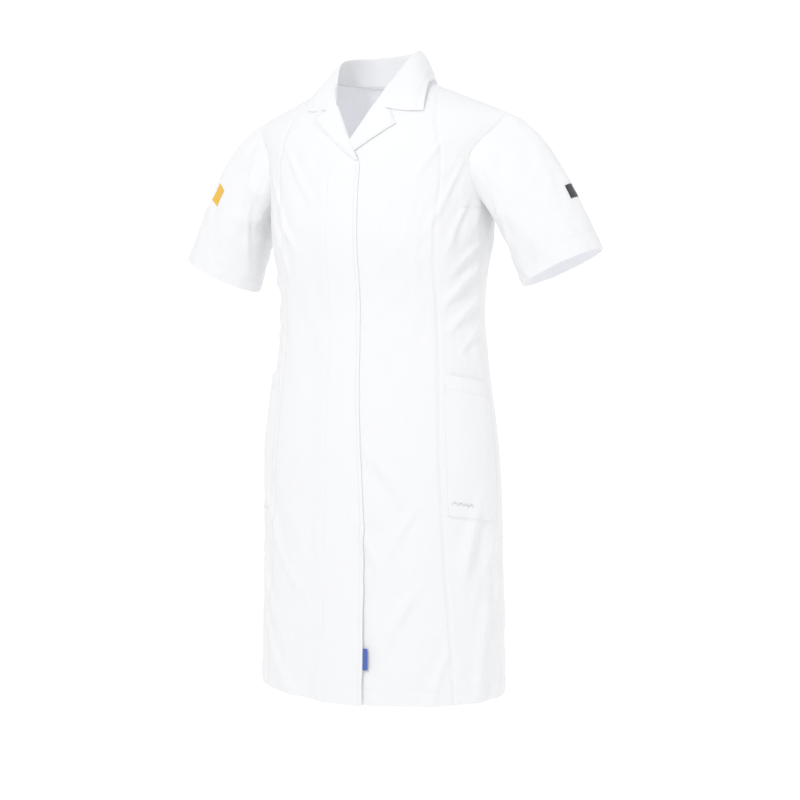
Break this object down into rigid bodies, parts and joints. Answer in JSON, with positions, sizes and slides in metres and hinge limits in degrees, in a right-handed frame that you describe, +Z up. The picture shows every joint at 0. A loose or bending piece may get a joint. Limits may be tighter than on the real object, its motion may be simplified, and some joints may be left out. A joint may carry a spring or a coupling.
{
  "type": "lab coat",
  "caption": "Short-sleeved knee-length lab coat with notched collar, princess seams, concealed stud fly and hip pockets.",
  "frame": {"origin": "middle of the neck, level with the points where the shoulder seams meet the collar", "axes": "+Z up, +X to the wearer's left, -Y to the front"},
  "size_m": [0.722, 0.3009, 1.0128],
  "materials": {
    "cloth": "white poplin with a fine thread grid",
    "facing": "white poplin, inside face",
    "label_black": "woven satin label",
    "label_yellow": "woven label",
    "label_blue": "woven label",
    "tape": "woven tape",
    "steel": "satin nickel"
  },
  "bodies": {
    "coat_body": {"back_centre_panel": "cloth", "back_side_panel_left": "cloth", "back_side_panel_right": "cloth", "back_hem": "facing", "side_front_panel_left": "cloth", "side_front_panel_right": "cloth", "side_front_hem_left": "facing", "side_front_hem_right": "facing", "front_chest_left": "cloth", "front_chest_right": "cloth", "lapel_left": "cloth", "lapel_right": "cloth", "collar_fall": "cloth", "collar_stand": "cloth", "back_neck_facing": "facing", "neck_label": "label_black", "size_label": "label_black", "pocket_left": "cloth", "pocket_right": "cloth", "pocket_hem_left": "cloth", "pocket_hem_right": "cloth"},
    "front_right": {"front_panel_right": "cloth", "front_facing_right": "facing", "front_hem_right": "facing", "edge_label": "label_blue", "socket_1": "steel", "socket_2": "steel", "socket_3": "steel", "socket_4": "steel", "socket_5": "steel", "socket_6": "steel"},
    "front_left": {"front_panel_left": "cloth", "front_facing_left": "facing", "front_hem_left": "facing", "stud_1": "steel", "stud_2": "steel", "stud_3": "steel", "stud_4": "steel", "stud_5": "steel", "stud_6": "steel"},
    "sleeve_left": {"sleeve_left": "cloth", "sleeve_hem_left": "facing", "sleeve_label_left": "label_black"},
    "sleeve_right": {"sleeve_right": "cloth", "sleeve_hem_right": "facing", "sleeve_label_right": "label_yellow"},
    "hanger_loop": {"hanger_loop": "tape"}
  },
  "joints": [
    {"name": "front_right_swing", "type": "hinge", "parent": "coat_body", "child": "front_right", "pos_m": [-0.14, -0.098, -0.55], "axis": [0, 0, -1], "range_deg": [0, 55]},
    {"name": "front_left_swing", "type": "hinge", "parent": "coat_body", "child": "front_left", "pos_m": [0.14, -0.098, -0.55], "axis": [0, 0, 1], "range_deg": [0, 33]},
    {"name": "sleeve_left_lift", "type": "hinge", "parent": "coat_body", "child": "sleeve_left", "pos_m": [0.2135, 0, -0.0572], "axis": [0, -1, 0], "range_deg": [0, 35]},
    {"name": "sleeve_right_lift", "type": "hinge", "parent": "coat_body", "child": "sleeve_right", "pos_m": [-0.2135, 0, -0.0572], "axis": [0, 1, 0], "range_deg": [0, 35]},
    {"name": "hanger_loop_swing", "type": "hinge", "parent": "coat_body", "child": "hanger_loop", "pos_m": [0, 0.0697, -0.004], "axis": [-1, 0, 0], "range_deg": [0, 110]}
  ],
  "couplings": [
    {"joint": "front_left_swing", "follows": "front_right_swing", "ratio": 0.6}
  ]
}
